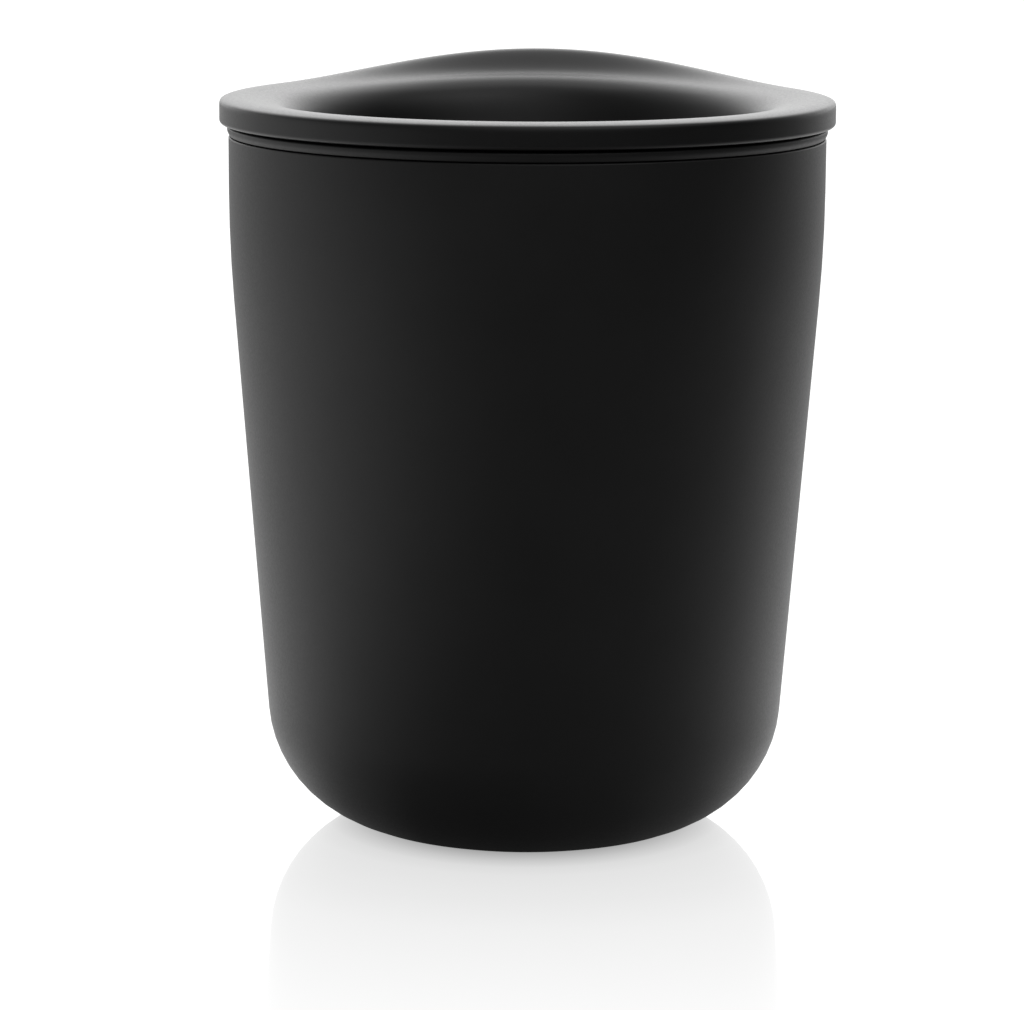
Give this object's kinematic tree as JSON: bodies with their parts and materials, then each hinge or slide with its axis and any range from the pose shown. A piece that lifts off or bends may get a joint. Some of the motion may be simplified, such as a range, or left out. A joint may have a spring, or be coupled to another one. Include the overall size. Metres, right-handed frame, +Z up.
{
  "type": "insulated drinking tumbler",
  "caption": "Double-wall tumbler with a tapered body, rounded base and a press-in dished lid whose rim rises into a drinking lip.",
  "frame": {"origin": "centre of the base, on the surface the tumbler stands on", "axes": "+Z up along the cup's axis; +Y towards the drinking lip of the lid; -Y is the side seen from the front"},
  "size_m": [0.092, 0.092, 0.1148],
  "materials": {
    "shell_plastic": "fine matt moulded surface",
    "lid_plastic": "fine matt moulded surface",
    "liner_steel": "turned and brushed around the axis",
    "seal_silicone": "matt",
    "pad_silicone": "matt"
  },
  "bodies": {
    "cup": {"outer_shell": "shell_plastic", "base_pad": "pad_silicone", "inner_liner": "liner_steel", "rim_band": "shell_plastic", "rim_seal": "seal_silicone"},
    "gasket": {"lid_gasket": "seal_silicone"},
    "lid": {"lid_cover": "lid_plastic", "lid_plug": "lid_plastic"}
  },
  "joints": [
    {"name": "lid_lift", "type": "slide", "parent": "cup", "child": "gasket", "axis": [0, 0, 1], "range_m": [0, 0.07]},
    {"name": "lid_turn", "type": "hinge", "parent": "gasket", "child": "lid", "pos_m": [0, 0, 0.1], "axis": [0, 0, 1], "continuous": true}
  ]
}
